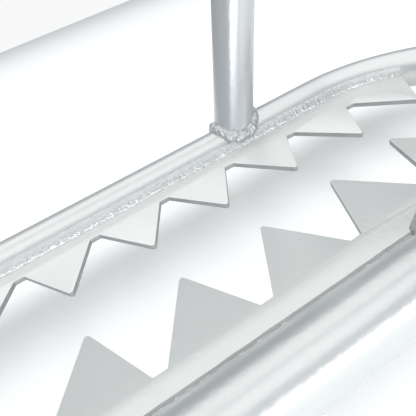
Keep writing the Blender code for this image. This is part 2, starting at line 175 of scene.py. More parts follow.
def runBend(centre, axis, angle, steps):
    # spin turns clockwise about its axis, so the angle changes sign
    bpy.ops.mesh.spin(steps=steps, angle=-angle, center=centre, axis=axis)


def closeEnds(piece):
    bpy.ops.mesh.select_all(action="SELECT")
    bpy.ops.mesh.remove_doubles(threshold=meshCare["mergeWithin"])
    bpy.ops.mesh.fill_holes(sides=0)
    bpy.ops.mesh.select_all(action="SELECT")
    bpy.ops.mesh.normals_make_consistent(inside=False)
    toObject()


def lathe(profile, place, direction, steps=40):
    # profile points are (radius, height), and the height runs along the direction
    clearSelection()
    radius, height = profile[0]
    bpy.ops.mesh.primitive_plane_add(size=0.001, location=(radius, 0, height))
    piece = placeNew()
    bpy.ops.mesh.merge(type="CENTER")
    for here, there in zip(profile, profile[1:]):
        runStraight((there[0] - here[0], 0, there[1] - here[1]))
    bpy.ops.mesh.select_all(action="SELECT")
    bpy.ops.mesh.spin(steps=steps, angle=math.tau, center=(0, 0, 0), axis=(0, 0, 1),
                      use_auto_merge=False)
    mendMesh(piece)
    turn = Vector(direction).to_track_quat("Z", "Y").to_matrix().to_4x4()
    piece.data.transform(Matrix.Translation(place) @ turn)
    return piece


def roundBar(start, end, radius, corners=40):
    start, end = Vector(start), Vector(end)
    clearSelection()
    turn = (end - start).to_track_quat("Z", "Y").to_euler()
    bpy.ops.mesh.primitive_cylinder_add(vertices=corners, radius=radius, depth=(end - start).length,
                                        location=(start + end) / 2, rotation=turn)
    piece = placeNew()
    toObject()
    return piece


def hullPlate(circles, nearY, farY, bores, rim):
    # a flat plate around some circles (x, z, radius), standing in X and Z
    clearSelection()
    for index, (x, z, radius) in enumerate(circles):
        bpy.ops.mesh.primitive_cylinder_add(vertices=meshCare["roundCorners"], radius=radius,
                                            depth=abs(farY - nearY),
                                            location=(x, (nearY + farY) / 2, z),
                                            rotation=(math.pi / 2, 0, 0))
        if index == 0:
            piece = placeNew()
    bpy.ops.mesh.select_all(action="SELECT")
    bpy.ops.mesh.convex_hull()
    bpy.ops.mesh.select_all(action="SELECT")
    bpy.ops.mesh.dissolve_limited(angle_limit=meshCare["flatWithin"])
    toObject()
    roundRims(piece, rim)
    past = meshCare["cutPast"]
    for x, z, radius in bores:
        cutWith(piece, roundBar((x, nearY - past, z), (x, farY + past, z), radius,
                                meshCare["roundCorners"]))
    return piece


def lumpy(piece, strength, grain):
    texture = bpy.data.textures.new("beadLumps", "CLOUDS")
    texture.noise_scale = grain
    applyModifier(piece, "DISPLACE", texture=texture, strength=strength, mid_level=0.5,
                  texture_coords="LOCAL")


def saddleBead(radius, thickness, reach, lumps, tall=1.0):
    # a weld ring about Z that follows the reach, a height for each place round the ring
    clearSelection()
    bpy.ops.mesh.primitive_torus_add(major_radius=radius, minor_radius=thickness, major_segments=160,
                                     minor_segments=18)
    piece = placeNew()
    toObject()
    for point in piece.data.vertices:
        around = math.atan2(point.co.y, point.co.x)
        point.co.z = point.co.z * tall + reach(around)
    lumpy(piece, lumps, thickness * 1.5)
    lumpy(piece, lumps * 0.5, thickness * 0.5)
    return piece


stitchLook = {"spacing": 0.9, "stepsEach": 4, "taper": 0.25, "rippleDepth": 0.09, "corners": 20}


def stitchBead(start, end, radius):
    # a straight weld of overlapping ripples, thin at both ends
    start, end = Vector(start), Vector(end)
    length = (end - start).length
    ripples = max(3, round(length / (radius * stitchLook["spacing"])))
    steps = ripples * stitchLook["stepsEach"]
    profile = [(0, 0)]
    for step in range(1, steps):
        part = step / steps
        taper = math.sin(math.pi * part) ** stitchLook["taper"]
        ripple = 1 + stitchLook["rippleDepth"] * math.cos(math.tau * ripples * part)
        profile.append((radius * taper * ripple, length * part))
    profile.append((0, length))
    return lathe(profile, start, end - start, stitchLook["corners"])


# node groups for effects that several finishes use

def newGroup(name, inputs, outputs):
    group = bpy.data.node_groups.new(name, "ShaderNodeTree")
    for label, kind, value in inputs:
        socket = group.interface.new_socket(name=label, in_out="INPUT", socket_type="NodeSocket" + kind)
        if value is not None:
            socket.default_value = value
    for label in outputs:
        group.interface.new_socket(name=label, in_out="OUTPUT", socket_type="NodeSocketFloat")
    return group, group.nodes.new("NodeGroupInput"), group.nodes.new("NodeGroupOutput")


def addNode(tree, kind, settings=None, **values):
    node = tree.nodes.new("ShaderNode" + kind)
    for key, value in (settings or {}).items():
        setattr(node, key, value)
    for key, value in values.items():
        node.inputs[key.replace("_", " ")].default_value = value
    return node


def coatGrainGroup():
    # the orange peel and fine speckle of a sprayed coat, and its slow changes of tone
    group, given, out = newGroup("coatGrain", [("Coord", "Vector", None), ("Peel", "Float", 420.0),
                                               ("Speckle", "Float", 1500.0), ("Cloud", "Float", 9.0)],
                                 ["Height", "Speckle", "Cloud"])
    peel = addNode(group, "TexVoronoi", {"feature": "SMOOTH_F1"})
    speckle = addNode(group, "TexNoise", Detail=3.0, Roughness=0.6)
    cloud = addNode(group, "TexNoise", Detail=4.0, Roughness=0.55)
    for node, label in ((peel, "Peel"), (speckle, "Speckle"), (cloud, "Cloud")):
        group.links.new(given.outputs["Coord"], node.inputs["Vector"])
        group.links.new(given.outputs[label], node.inputs["Scale"])
    height = addNode(group, "Math", {"operation": "MULTIPLY_ADD"})
    height.inputs[1].default_value = 0.35
    group.links.new(speckle.outputs["Fac"], height.inputs[0])
    group.links.new(peel.outputs["Distance"], height.inputs[2])
    group.links.new(height.outputs[0], out.inputs["Height"])
    group.links.new(speckle.outputs["Fac"], out.inputs["Speckle"])
    group.links.new(cloud.outputs["Fac"], out.inputs["Cloud"])
    return group


def rubMarksGroup():
    # thin scuffs that lie mostly one way, in patches
    group, given, out = newGroup("rubMarks", [("Coord", "Vector", None), ("Fineness", "Float", 60.0),
                                              ("Reach", "Float", 0.5)], ["Mask"])
    stretch = addNode(group, "Mapping")
    stretch.inputs["Scale"].default_value = (0.12, 1.0, 1.0)
    stretch.inputs["Rotation"].default_value = (0.0, 0.0, 0.35)
    lines = addNode(group, "TexNoise", Detail=6.0, Roughness=0.7, Distortion=0.3)
    patches = addNode(group, "TexNoise", Scale=14.0, Detail=2.0)
    thin = addNode(group, "MapRange", {"interpolation_type": "SMOOTHSTEP"})
    thin.inputs["From Min"].default_value = 0.60
    thin.inputs["From Max"].default_value = 0.70
    where = addNode(group, "Math", {"operation": "GREATER_THAN"})
    both = addNode(group, "Math", {"operation": "MULTIPLY"})
    group.links.new(given.outputs["Coord"], stretch.inputs["Vector"])
    group.links.new(stretch.outputs["Vector"], lines.inputs["Vector"])
    group.links.new(given.outputs["Fineness"], lines.inputs["Scale"])
    group.links.new(given.outputs["Coord"], patches.inputs["Vector"])
    group.links.new(lines.outputs["Fac"], thin.inputs["Value"])
    group.links.new(patches.outputs["Fac"], where.inputs[0])
    group.links.new(given.outputs["Reach"], where.inputs[1])
    group.links.new(thin.outputs["Result"], both.inputs[0])
    group.links.new(where.outputs[0], both.inputs[1])
    group.links.new(both.outputs[0], out.inputs["Mask"])
    return group


def settledDustGroup():
    # dust on what faces up, thicker in some places
    group, given, out = newGroup("settledDust", [("Coord", "Vector", None), ("Facing", "Vector", None),
                                                 ("Scale", "Float", 35.0)], ["Mask"])
    apart = addNode(group, "SeparateXYZ")
    upward = addNode(group, "MapRange", {"interpolation_type": "SMOOTHSTEP"})
    upward.inputs["From Min"].default_value = 0.2
    patches = addNode(group, "TexNoise", Detail=5.0, Roughness=0.65)
    both = addNode(group, "Math", {"operation": "MULTIPLY"})
    group.links.new(given.outputs["Facing"], apart.inputs[0])
    group.links.new(apart.outputs["Z"], upward.inputs["Value"])
    group.links.new(given.outputs["Coord"], patches.inputs["Vector"])
    group.links.new(given.outputs["Scale"], patches.inputs["Scale"])
    group.links.new(upward.outputs["Result"], both.inputs[0])
    group.links.new(patches.outputs["Fac"], both.inputs[1])
    group.links.new(both.outputs[0], out.inputs["Mask"])
    return group


coatGrain, rubMarks, settledDust = coatGrainGroup(), rubMarksGroup(), settledDustGroup()


# finishes

def placeGroup(tree, group, coord, **values):
    node = tree.nodes.new("ShaderNodeGroup")
    node.node_tree = group
    tree.links.new(coord, node.inputs["Coord"])
    for key, value in values.items():
        node.inputs[key].default_value = value
    return node


def tint(tree, amount, strength, below, colour):
    # lay a colour over the one below by the amount times the strength
    scale = addNode(tree, "Math", {"operation": "MULTIPLY", "use_clamp": True})
    scale.inputs[1].default_value = strength
    tree.links.new(amount, scale.inputs[0])
    mix = addNode(tree, "Mix", {"data_type": "RGBA"})
    mix.inputs[7].default_value = (*colour, 1)
    if isinstance(below, tuple):
        mix.inputs[6].default_value = (*below, 1)
    else:
        tree.links.new(below, mix.inputs[6])
    tree.links.new(scale.outputs[0], mix.inputs[0])
    return mix.outputs[2]


def spread(tree, amount, low, high):
    ranged = addNode(tree, "MapRange")
    ranged.inputs["To Min"].default_value = low
    ranged.inputs["To Max"].default_value = high
    tree.links.new(amount, ranged.inputs["Value"])
    return ranged.outputs["Result"]


def makeFinish(name, look):
    finish = bpy.data.materials.new(name)
    finish.use_nodes = True
    tree = finish.node_tree
    shader = tree.nodes["Principled BSDF"]
    shader.inputs["Metallic"].default_value = look["metallic"]
    shader.inputs["Coat Weight"].default_value = look["coat"]
    shader.inputs["Coat Roughness"].default_value = 0.35
    coord = addNode(tree, "TexCoord")
    grain = placeGroup(tree, coatGrain, coord.outputs["Object"], Peel=look["peel"],
                       Speckle=look["speckle"], Cloud=look["cloud"])
    rubs = placeGroup(tree, rubMarks, coord.outputs["Object"], Reach=look["rubReach"])
    dust = placeGroup(tree, settledDust, coord.outputs["Object"])
    tree.links.new(coord.outputs["Normal"], dust.inputs["Facing"])
    colour = tint(tree, grain.outputs["Cloud"], look["cloudDepth"], look["colour"], look["shade"])
    colour = tint(tree, grain.outputs["Speckle"], look["speckleDepth"], colour, look["light"])
    colour = tint(tree, rubs.outputs["Mask"], look["rubDepth"], colour, look["rub"])
    colour = tint(tree, dust.outputs["Mask"], look["dustDepth"], colour, look["dust"])
    tree.links.new(colour, shader.inputs["Base Color"])
    rough = spread(tree, grain.outputs["Cloud"], *look["rough"])
    tree.links.new(rough, shader.inputs["Roughness"])
    if look.get("ripple"):
        bands = addNode(tree, "TexNoise", Scale=look["ripple"], Detail=2.0)
        tree.links.new(coord.outputs["Object"], bands.inputs["Vector"])
        rippleBump = addNode(tree, "Bump", Strength=0.5, Distance=look["rippleDepth"])
        tree.links.new(bands.outputs["Fac"], rippleBump.inputs["Height"])
    bump = addNode(tree, "Bump", Strength=look["bump"], Distance=look["bumpDepth"])
    if look.get("ripple"):
        tree.links.new(rippleBump.outputs["Normal"], bump.inputs["Normal"])
    tree.links.new(grain.outputs["Height"], bump.inputs["Height"])
    tree.links.new(bump.outputs["Normal"], shader.inputs["Normal"])
    return finish


silverCoat = {"colour": (0.66, 0.675, 0.665), "shade": (0.57, 0.585, 0.58), "light": (0.76, 0.77, 0.76),
              "rub": (0.74, 0.75, 0.75), "dust": (0.66, 0.65, 0.62), "metallic": 0.50,
              "rough": (0.25, 0.33), "coat": 0.0, "peel": 380.0, "speckle": 1700.0, "cloud": 11.0,
              "cloudDepth": 0.45, "speckleDepth": 0.30, "rubReach": 0.56, "rubDepth": 0.35,
              "dustDepth": 0.25, "bump": 0.35, "bumpDepth": 0.00025}
silverTube = makeFinish("silverTube", silverCoat)
# the guards take a darker, bluer copy of the same silver coat: painted shade for the dim upright posts
guardSilverPaintedShade = makeFinish("guardSilverPaintedShade", silverCoat | {
    "colour": (0.55, 0.57, 0.58), "shade": (0.47, 0.49, 0.505), "cloud": 16.0})
silverPlate = makeFinish("silverPlate", silverCoat | {
    "colour": (0.80, 0.815, 0.79), "shade": (0.72, 0.735, 0.72), "light": (0.88, 0.89, 0.88),
    "rub": (0.90, 0.91, 0.90), "dust": (0.80, 0.79, 0.76), "rough": (0.33, 0.43),
    "metallic": 0.35, "peel": 300.0, "rubReach": 0.50, "rubDepth": 0.5, "dustDepth": 0.35})
# a darker, rougher copy of the same silver coat: painted shade for faces that stand upright, given to
# the plates' cut edges and the end discs
paintedShadeCoat = makeFinish("paintedShadeCoat", silverCoat | {
    "colour": (0.40, 0.415, 0.415), "shade": (0.27, 0.28, 0.285), "light": (0.5, 0.51, 0.51),
    "cloud": 45.0, "cloudDepth": 0.8, "rough": (0.5, 0.66), "bump": 0.6})
weldSilver = makeFinish("weldSilver", silverCoat | {
    "colour": (0.56, 0.575, 0.57), "shade": (0.42, 0.43, 0.435), "cloud": 60.0, "cloudDepth": 0.7,
    "bump": 0.5, "ripple": 330.0, "rippleDepth": 0.0026, "rough": (0.26, 0.36)})
zincPlated = makeFinish("zincPlated", silverCoat | {
    "colour": (0.52, 0.53, 0.55), "shade": (0.38, 0.40, 0.44), "light": (0.68, 0.69, 0.70),
    "metallic": 0.9, "rough": (0.24, 0.42), "peel": 900.0, "cloud": 90.0,
    "cloudDepth": 0.7, "bump": 0.25})
blackRubber = makeFinish("blackRubber", silverCoat | {
    "colour": (0.035, 0.035, 0.037), "shade": (0.018, 0.018, 0.02), "light": (0.07, 0.07, 0.07),
    "rub": (0.13, 0.13, 0.125), "dust": (0.22, 0.21, 0.19), "metallic": 0.0, "rough": (0.68, 0.88),
    "peel": 700.0, "cloud": 40.0, "dustDepth": 0.3, "bump": 0.7})
knobPlastic = makeFinish("knobPlastic", silverCoat | {
    "colour": (0.03, 0.03, 0.033), "shade": (0.02, 0.02, 0.022), "light": (0.05, 0.05, 0.052),
    "rub": (0.10, 0.10, 0.10), "dust": (0.15, 0.15, 0.14), "metallic": 0.0, "rough": (0.38, 0.5),
    "peel": 1100.0, "dustDepth": 0.15, "bump": 0.4})
print("finishes made")


# frame tubes, guards and their welds

def frameFacts(section):
    low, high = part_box(section + "_side_frame")
    radius = (high.z - low.z) / 2
    track = (high.y - low.y) / 2 - radius
    way = 1 if section == "upper" else -1
    start, far = (low.x, high.x) if way > 0 else (high.x, low.x)
    return {"way": way, "start": start, "hoopX": far - way * (radius + track), "radius": radius,
            "track": track, "z": (low.z + high.z) / 2, "body": section + "_section"}


tubeLook = {"corners": 56, "hoopSteps": 72, "wall": 0.002, "lockHole": 0.0042, "lockX": 0.035}
hinge = {"x": sum(p.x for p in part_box("hinge_bolt_left")) / 2,
         "z": sum(p.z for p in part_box("hinge_bolt_left")) / 2}


def hoopTube(section):
    facts = frameFacts(section)
    start = (facts["start"], facts["track"], facts["z"])
    straight = (facts["hoopX"] - facts["start"], 0, 0)
    piece = startRing(start, (0, math.pi / 2, 0), facts["radius"], tubeLook["corners"])
    runStraight(straight)
    runBend((facts["hoopX"], 0, facts["z"]), (0, 0, 1), -facts["way"] * math.pi, tubeLook["hoopSteps"])
    runStraight((-straight[0], 0, 0))
    bpy.ops.mesh.select_all(action="SELECT")
    bpy.ops.mesh.normals_make_consistent(inside=False)
    applyModifier(piece, "SOLIDIFY", thickness=tubeLook["wall"], offset=-1)
    if section == "upper":
        # the lock bolts go in here
        reach = facts["track"] + facts["radius"] + meshCare["cutPast"]
        spot = hinge["x"] + tubeLook["lockX"]
        for side in sides.values():
            cutWith(piece, roundBar((spot, side * facts["track"], facts["z"]),
                                    (spot, side * reach, facts["z"]), tubeLook["lockHole"], 32))
    finishPiece(piece, section + "HoopTube", silverTube, facts["body"],
                [section + "_side_frame"])


guardLook = {"rake": math.radians(18), "bend": 0.06, "footSpan": 0.585, "clearance": 0.0003,
             "thinner": 0.0001, "corners": 48, "bendSteps": 28}
guardWeld = {"thickness": 0.0046, "tall": 1.35, "out": 0.0002, "lumps": 0.0042, "lowest": 0.55}


def guardFeet(section):
    # the low foot is found from where its leg's edge meets the frame tube
    facts = frameFacts(section)
    rake = guardLook["rake"]
    edge = facts["radius"] / math.cos(rake)
    edge -= (facts["radius"] + guardLook["clearance"]) * math.tan(rake)
    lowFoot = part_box(section + "_side_guard_left")[0].x + edge
    return lowFoot, lowFoot + guardLook["footSpan"]


def sideGuard(section, sideName):
    facts, side = frameFacts(section), sides[sideName]
    node = f"{section}_side_guard_{sideName}"
    rake, bend = guardLook["rake"], guardLook["bend"]
    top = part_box(node)[1].z
    lowFoot, highFoot = guardFeet(section)
    radius = facts["radius"] - guardLook["thinner"]
    y, rise = side * facts["track"], top - radius - facts["z"]
    lean = math.tan(rake)
    highBend = highFoot + rise * lean - bend * math.tan((math.pi / 2 + rake) / 2)
    lowBend = lowFoot + rise * lean + bend * math.tan((math.pi / 2 - rake) / 2)
    bendZ = facts["z"] + rise - bend
    highEnd = Vector((highBend + bend * math.cos(rake), y, bendZ - bend * math.sin(rake)))
    lowEnd = Vector((lowBend - bend * math.cos(rake), y, bendZ + bend * math.sin(rake)))
    foot = Vector((highFoot, y, facts["z"]))
    piece = startRing(foot, (0, rake, 0), radius, guardLook["corners"])
    runStraight(highEnd - foot)
    runBend((highBend, y, bendZ), (0, 1, 0), -(math.pi / 2 + rake), guardLook["bendSteps"])
    runStraight((lowBend - highBend, 0, 0))
    runBend((lowBend, y, bendZ), (0, 1, 0), -(math.pi / 2 - rake), guardLook["bendSteps"])
    runStraight(Vector((lowFoot, y, facts["z"])) - lowEnd)
    closeEnds(piece)
    finishPiece(piece, f"{section}SideGuard_{sideName}", guardSilverPaintedShade, facts["body"],
                [node])


def guardWelds():
    facts = frameFacts("upper")
    rake, radius = guardLook["rake"], facts["radius"]

    def reach(around):
        # the ring rounds off where it meets the plate's bead, above the tube's side
        across = radius * math.sin(around)
        down = radius * math.cos(around) * math.sin(rake)
        above = math.sqrt(max(radius ** 2 - across ** 2, 0))
        above = (above ** 4 + (guardWeld["lowest"] * radius) ** 4) ** 0.25
        return (above + down) / math.cos(rake)

    model = saddleBead(radius + guardWeld["out"], guardWeld["thickness"], reach, guardWeld["lumps"],
                       guardWeld["tall"])
    for section in ("upper", "lower"):
        here = frameFacts(section)
        for sideName, side in sides.items():
            for end, x in zip(("low", "high"), guardFeet(section)):
                placing = Matrix.Translation((x, side * here["track"], here["z"]))
                placing = placing @ Matrix.Rotation(rake, 4, "Y")
                bead = copyPiece(model, "weld", placing)
                finishPiece(bead, f"{section}GuardWeld_{sideName}_{end}", weldSilver, here["body"],
                            smooth=60)
    bpy.data.objects.remove(model)


for section in ("upper", "lower"):
    hoopTube(section)
    for sideName in sides:
        sideGuard(section, sideName)
guardWelds()
print("tubes and guards done")


# toothed plates and the beads along them

plateLook = {"upright": 0.002, "cornersWithin": 0.058, "cornerRound": 0.0010, "rim": 0.0003}
plateBead = {"long": 0.0058, "thick": 0.0022, "fromPlate": 0.0031, "inTube": 0.0005,
             "sweep": math.radians(46.2), "step": 0.005, "hoopSteps": 28, "lumps": 0.0006,
             "lumpGrain": 0.008, "corners": 18}


def toothedPlate(section, sideName):
    node = f"{section}_toothed_plate_{sideName}"
    piece = copyNode(node, node)
    pickEdges(piece, lambda a, b: abs(a.z - b.z) > plateLook["upright"]
              and abs(a.y) < plateLook["cornersWithin"])
    bpy.ops.mesh.bevel(offset=plateLook["cornerRound"], segments=3, affect="EDGES", clamp_overlap=True)
    toObject()
    roundRims(piece, plateLook["rim"], angle=55)
    finishPiece(piece, f"{section}ToothedPlate_{sideName}", silverPlate, section + "_section",
                [node])
    # faces that stand upright, the plates' cut edges, take the darker copy of the coat: painted shade
    piece.data.materials.append(paintedShadeCoat)
    for face in piece.data.polygons:
        face.material_index = 1 if abs(face.normal.z) < 0.5 else 0


def plateBeads(section, sideName):
    facts, side = frameFacts(section), sides[sideName]
    low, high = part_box(f"{section}_toothed_plate_{sideName}")
    plateZ = (low.z + high.z) / 2
    startX = low.x if facts["way"] > 0 else high.x
    toInner = facts["track"] - facts["radius"] - plateBead["inTube"]
    for face in (1, -1):
        y = side * toInner
        z = plateZ + face * ((high.z - low.z) / 2 + plateBead["fromPlate"])
        piece = startRing((0, 0, 0), (0, math.pi / 2, 0), 1.0, plateBead["corners"])
        toObject()
        # squash the ring into a bead that leans from the plate up to the tube
        tilt = Matrix.Rotation(face * side * math.pi / 4, 4, "X")
        size = Matrix.Diagonal((1, plateBead["long"], plateBead["thick"], 1))
        piece.data.transform(Matrix.Translation((startX, y, z)) @ tilt @ size)
        workOn(piece)
        bpy.ops.mesh.select_all(action="SELECT")
        length = facts["hoopX"] - startX
        runStraight((length, 0, 0), round(abs(length) / plateBead["step"]))
        runBend((facts["hoopX"], 0, z), (0, 0, 1), -facts["way"] * side * plateBead["sweep"],
                plateBead["hoopSteps"])
        closeEnds(piece)
        lumpy(piece, plateBead["lumps"], plateBead["lumpGrain"])
        label = "top" if face > 0 else "under"
        finishPiece(piece, f"{section}PlateBead_{sideName}_{label}", weldSilver, facts["body"],
                    smooth=60)


for section in ("upper", "lower"):
    for sideName in sides:
        toothedPlate(section, sideName)
        plateBeads(section, sideName)
print("toothed plates done")


# cross bars, end discs and feet

barLook = {"intoTube": 0.004, "rim": 0.0006}
barWeld = {"thickness": 0.0024, "out": 0.0004, "lumps": 0.0012, "highest": 0.0187}
discLook = {"rim": 0.0006, "seamIn": 0.0007, "seamThick": 0.0013, "seamLumps": (0.0005, 0.003)}
footLook = {"corner": 0.005, "rim": 0.0004, "grooves": (0.007, 0.0125, 0.018), "grooveWide": 0.0022,
            "grooveDeep": 0.0013, "boreRoom": 0.0003,
            "screwBores": ((0.0033, 0.05), (0.006, 0.008))}  # radius and top: shank, then head


def crossBars(section):
    facts = frameFacts(section)
    for place in ("hinge", "mid"):
        node = f"{section}_cross_bar_{place}"
        low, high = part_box(node)
        x, z, radius = (low.x + high.x) / 2, (low.z + high.z) / 2, (high.z - low.z) / 2
        end = facts["track"] - facts["radius"] + barLook["intoTube"]
        bar = roundBar((x, -end, z), (x, end, z), radius)
        roundRims(bar, barLook["rim"])
        finishPiece(bar, f"{section}CrossBar_{place}", silverTube, facts["body"], [node])
        drop = facts["z"] - z

        def reach(around):
            height = min(abs(-drop - radius * math.sin(around)), barWeld["highest"])
            return facts["track"] - math.sqrt(facts["radius"] ** 2 - height ** 2)

        model = saddleBead(radius + barWeld["out"], barWeld["thickness"], reach, barWeld["lumps"])
        for sideName, side in sides.items():
            # the ring's height runs outwards, and its own Y runs down
            outward = Matrix(((1, 0, 0, x), (0, 0, side, 0), (0, -1, 0, z), (0, 0, 0, 1)))
            bead = copyPiece(model, "weld", outward)
            finishPiece(bead, f"{section}BarWeld_{place}_{sideName}", weldSilver, facts["body"],
                        smooth=60)
        bpy.data.objects.remove(model)


def endDisc(section, sideName):
    facts = frameFacts(section)
    node = f"{section}_end_disc_{sideName}"
    low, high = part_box(node)
    y = (low.y + high.y) / 2
    disc = roundBar((low.x, y, facts["z"]), (high.x, y, facts["z"]), facts["radius"],
                    meshCare["roundCorners"])
    roundRims(disc, discLook["rim"])
    # the whole disc takes the darker copy of the coat: painted shade
    finishPiece(disc, f"{section}EndDisc_{sideName}", paintedShadeCoat, facts["body"], [node])
    # a thin closing weld between the disc and its tube
    seamX = high.x if facts["way"] > 0 else low.x
    clearSelection()
    bpy.ops.mesh.primitive_torus_add(major_radius=facts["radius"] - discLook["seamIn"],
                                     minor_radius=discLook["seamThick"],
                                     major_segments=90, minor_segments=10,
                                     location=(seamX, y, facts["z"]), rotation=(0, math.pi / 2, 0))
    seam = placeNew()
    toObject()
    lumpy(seam, *discLook["seamLumps"])
    finishPiece(seam, f"{section}EndSeam_{sideName}", weldSilver, facts["body"],
                smooth=60)


def rubberFoot(section, sideName):
    facts = frameFacts(section)
    node = f"{section}_foot_{sideName}"
    low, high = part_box(node)
    middle, size = (low + high) / 2, high - low
    past = meshCare["cutPast"]
    clearSelection()
    bpy.ops.mesh.primitive_cube_add(size=1, location=middle, scale=size)
    piece = placeNew()
    pickEdges(piece, lambda a, b: abs(a.z - b.z) > size.z / 2)
    bpy.ops.mesh.bevel(offset=footLook["corner"], segments=5, affect="EDGES")
    # shallow grooves all round
    bands = [(z, z + footLook["grooveWide"]) for z in footLook["grooves"]]
    for z in [edge for band in bands for edge in band]:
        bpy.ops.mesh.select_all(action="SELECT")
        bpy.ops.mesh.bisect(plane_co=(0, 0, z), plane_no=(0, 0, 1))
    pickFaces(piece, lambda c, n: abs(n.z) < 0.5 and any(a < c.z < b for a, b in bands))
    bpy.ops.mesh.extrude_region_shrink_fatten(
        TRANSFORM_OT_shrink_fatten={"value": -footLook["grooveDeep"], "use_even_offset": True})
    toObject()
    roundRims(piece, footLook["rim"], angle=60)
    if section == "upper":
        # these stand under the front of the hoop
        clearSelection()
        bpy.ops.mesh.primitive_torus_add(major_radius=facts["track"],
                                         minor_radius=facts["radius"] + footLook["boreRoom"],
                                         major_segments=180, minor_segments=56,
                                         location=(facts["hoopX"], 0, facts["z"]))
        tube = placeNew()
        toObject()
    else:
        tube = roundBar((low.x - past, middle.y, facts["z"]), (high.x + past, middle.y, facts["z"]),
                        facts["radius"] + footLook["boreRoom"], 72)
    cutWith(piece, tube)
    for radius, top in footLook["screwBores"]:
        cutWith(piece, roundBar((middle.x, middle.y, -past), (middle.x, middle.y, top), radius, 32))
    finishPiece(piece, f"{section}Foot_{sideName}", blackRubber, facts["body"], [node])


for section in ("upper", "lower"):
    crossBars(section)
    for sideName in sides:
        endDisc(section, sideName)
        rubberFoot(section, sideName)
print("bars, discs and feet done")


# fold hinge

hingeLook = {"knuckle": 0.012, "rim": 0.0009, "bore": 0.0063, "lugTop": 0.020, "armDrop": 0.012,
             "lugEnds": (0.014, 0.048), "lugRound": 0.006, "outerEnd": 0.058, "outerRound": 0.012,
             "innerEnds": (0.020, 0.052), "innerRound": 0.009}
# along is from the fold axis, and out and up are from the middle of the tube
hingeBead = {"lug": {"along": (0.010, 0.053), "out": 0.0065, "up": -0.0195, "radius": 0.0022},
             "outerTop": {"along": (-0.064, -0.006), "out": 0.0165, "up": 0.0118, "radius": 0.0030},
             "outerUnder": {"along": (-0.062, -0.020), "out": 0.0165, "up": -0.0118, "radius": 0.0030},
             "innerTop": {"along": (-0.058, -0.012), "out": -0.0157, "up": -0.0040, "radius": 0.0030}}
boltLook = {"radius": 0.006, "corner": 0.0095, "headRim": 0.0006, "headFoot": 0.0020,
            "crown": ((0, 0.0012), (0.0014, 0.0002), (0.0030, 0.0002), (0.0036, 0.0008)),
            "tipRim": 0.0012, "threadFrom": 0.001,
            "thread": {"deep": 0.0005, "pitch": 0.0006, "rings": 16}}
washerLook = {"wide": 0.0105, "deep": 0.0012, "rim": 0.0003}
hingeNutLook = {"bore": 0.0061, "mouth": 0.0006, "wide": 0.010, "corner": 0.0012, "drop": 0.0010}
spacerLook = {"bore": 0.0061, "wide": 0.009, "rim": 0.0005}


def sideReach(node, sideName):
    # how near to the ramp's middle a part starts, and how far out it ends
    return sorted(abs(p.y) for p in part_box(f"{node}_{sideName}"))


def threadRings(radius, start, thread):
    # plain rings that stand for a thread
    return [(radius - thread["deep"] * (turn % 2), start + thread["pitch"] * turn)
            for turn in range(thread["rings"])]


def hexNut(first, last, look, place, direction):
    # a six-sided ring with its corners and mouths cut back
    way = 1 if last > first else -1
    mouth, drop = way * look["mouth"], way * look["drop"]
    inner, outer = look["bore"] + look["mouth"], look["wide"] - look["corner"]
    return lathe([(inner, first), (outer, first), (look["wide"], first + drop),
                  (look["wide"], last - drop), (outer, last), (inner, last),
                  (look["bore"], last - mouth), (look["bore"], first + mouth), (inner, first)],
                 place, direction, 6)


def hingePlates(sideName):
    x, z, axis = hinge["x"], hinge["z"], frameFacts("upper")["z"]
    knuckle, bore = (x, z, hingeLook["knuckle"]), (x, z, hingeLook["bore"])
    lockX = x + tubeLook["lockX"]
    lugZ, armZ = axis - hingeLook["lugTop"], axis - hingeLook["armDrop"]
    lug = [(x + end, lugZ, hingeLook["lugRound"]) for end in hingeLook["lugEnds"]]
    outer = [(end, axis, hingeLook["outerRound"]) for end in (x - hingeLook["outerEnd"], lockX)]
    inner = [(x - end, armZ, hingeLook["innerRound"]) for end in hingeLook["innerEnds"]]
    plates = (("upper_hinge_lug_", "upper_section", lug, [bore]),
              ("lower_hinge_plate_outer_", "lower_section", outer,
               [bore, (lockX, axis, tubeLook["lockHole"])]),
              ("lower_hinge_plate_inner_", "lower_section", inner, [bore]))
    for node, body, ends, bores in plates:
        low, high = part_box(node + sideName)
        plate = hullPlate([knuckle] + ends, low.y, high.y, bores, hingeLook["rim"])
        words = node.strip("_").split("_")
        name = words[0] + "".join(word.title() for word in words[1:])
        finishPiece(plate, f"{name}_{sideName}", silverPlate, body, [node + sideName])


def hingeWelds(sideName):
    facts, side = frameFacts("upper"), sides[sideName]
    lines = (("lugBead_in", "lug", -1), ("lugBead_out", "lug", 1), ("outerBead_top", "outerTop", side),
             ("outerBead_under", "outerUnder", side), ("innerBead_top", "innerTop", side))
    for name, kind, way in lines:
        look = hingeBead[kind]
        y, z = side * facts["track"] + way * look["out"], facts["z"] + look["up"]
        start, end = [(hinge["x"] + along, y, z) for along in look["along"]]
        bead = stitchBead(start, end, look["radius"])
        body = "upper_section" if kind == "lug" else "lower_section"
        finishPiece(bead, f"{name}_{sideName}", weldSilver, body, smooth=60)


